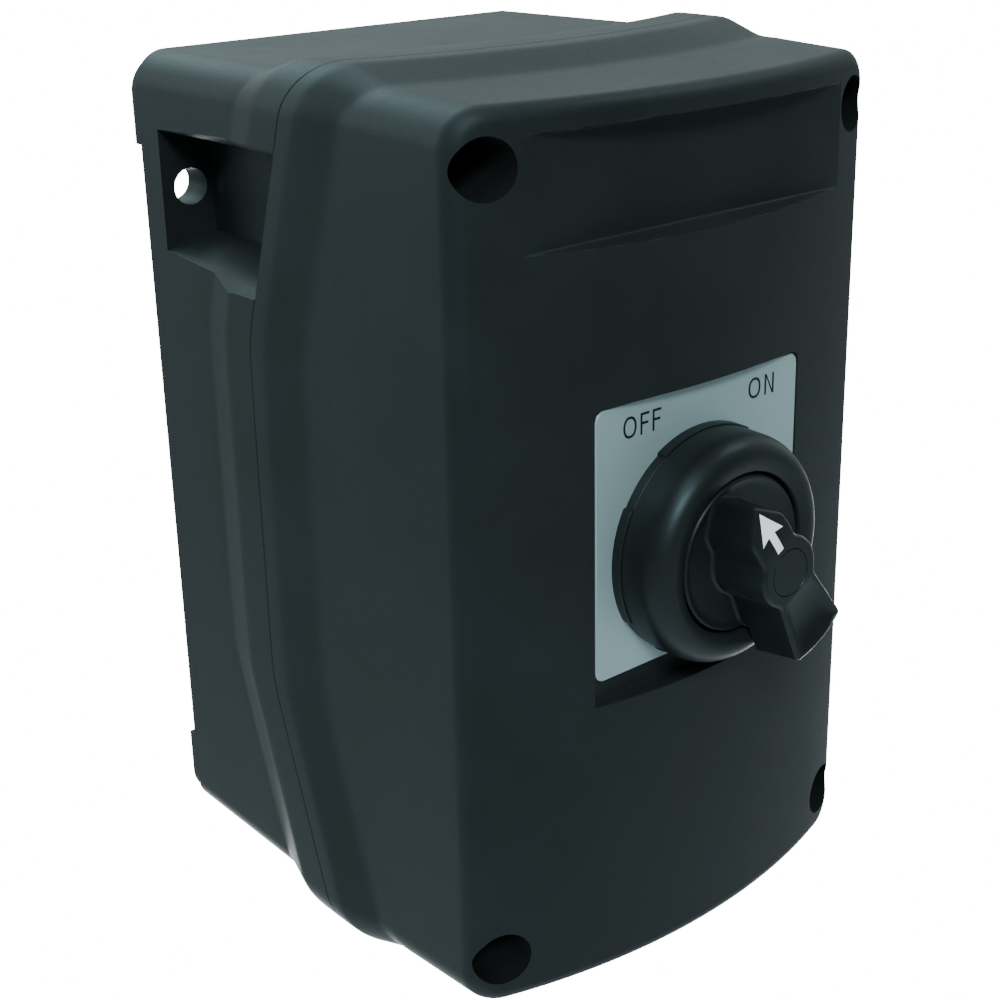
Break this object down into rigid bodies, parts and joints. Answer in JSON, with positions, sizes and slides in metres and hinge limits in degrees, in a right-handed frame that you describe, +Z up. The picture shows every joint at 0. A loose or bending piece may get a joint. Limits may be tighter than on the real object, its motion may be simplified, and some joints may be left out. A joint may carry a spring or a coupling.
{
  "type": "rotary isolator switch",
  "caption": "Wall-mounted rotary isolator switch: deep black box with a bowed front cover, a silver legend plate and a turning handle with a white arrow.",
  "frame": {"origin": "in the plane of the box's back, where the two fixing holes start, midway between them and on the axis of the handle; the wall is 1.8 mm behind, under the feet", "axes": "+X right, +Y into the wall, +Z up; the front faces -Y and the handle turns about Y"},
  "size_m": [0.1, 0.12, 0.162],
  "materials": {
    "shell": "fine satin grain, black",
    "bezel": "satin black",
    "knob": "satin black",
    "white_inlay": "satin white",
    "plate": "satin silver",
    "gasket": "closed-cell foam",
    "steel": "zinc plated",
    "brass": "plain",
    "copper": "silvered copper",
    "deck": "grey thermoset",
    "drum": "dark thermoset",
    "index": "natural nylon"
  },
  "bodies": {
    "base": {"base_box": "shell", "lid_gasket": "gasket", "screw_inserts": "brass", "mounting_plate": "steel", "mounting_screws": "steel", "earth_terminal": "brass", "earth_screws": "steel", "end_plate": "deck", "index_housing": "deck", "index_cover": "steel", "index_springs": "steel", "tie_bolts": "steel", "contact_deck_1": "deck", "fixed_contacts_1": "brass", "terminal_clamps_1": "steel", "terminal_screws_1": "steel", "contact_deck_2": "deck", "fixed_contacts_2": "brass", "terminal_clamps_2": "steel", "terminal_screws_2": "steel", "contact_deck_3": "deck", "fixed_contacts_3": "brass", "terminal_clamps_3": "steel", "terminal_screws_3": "steel", "contact_deck_4": "deck", "fixed_contacts_4": "brass", "terminal_clamps_4": "steel", "terminal_screws_4": "steel"},
    "rotor": {"drive_shaft": "steel", "index_wheel": "index", "shaft_clip": "steel", "switch_rotor_1": "drum", "switch_rotor_2": "drum", "switch_rotor_3": "drum", "switch_rotor_4": "drum", "moving_contacts_1": "copper", "moving_contacts_2": "copper", "moving_contacts_3": "copper", "moving_contacts_4": "copper"},
    "cover": {"front_cover": "shell", "cover_screws": "steel", "cover_screw_seals": "gasket", "legend_plate": "plate", "bezel_base": "bezel", "bezel_ring": "bezel", "bezel_nut": "index"},
    "handle": {"handle_knob": "knob", "arrow_inlay": "white_inlay", "knob_cap": "knob", "knob_screw": "steel", "shaft_socket": "steel", "shaft_seal": "gasket"}
  },
  "joints": [
    {"name": "cover_lift", "type": "slide", "parent": "base", "child": "cover", "axis": [0, -1, 0], "range_m": [0, 0.08]},
    {"name": "handle_turn", "type": "hinge", "parent": "cover", "child": "handle", "pos_m": [0, -0.0982, 0], "axis": [0, 1, 0], "range_deg": [0, 60]},
    {"name": "rotor_turn", "type": "hinge", "parent": "base", "child": "rotor", "pos_m": [0, -0.0382, 0], "axis": [0, 1, 0], "range_deg": [0, 60], "deforming": ["index_springs"]}
  ],
  "couplings": [
    {"joint": "rotor_turn", "follows": "handle_turn", "ratio": 1}
  ]
}
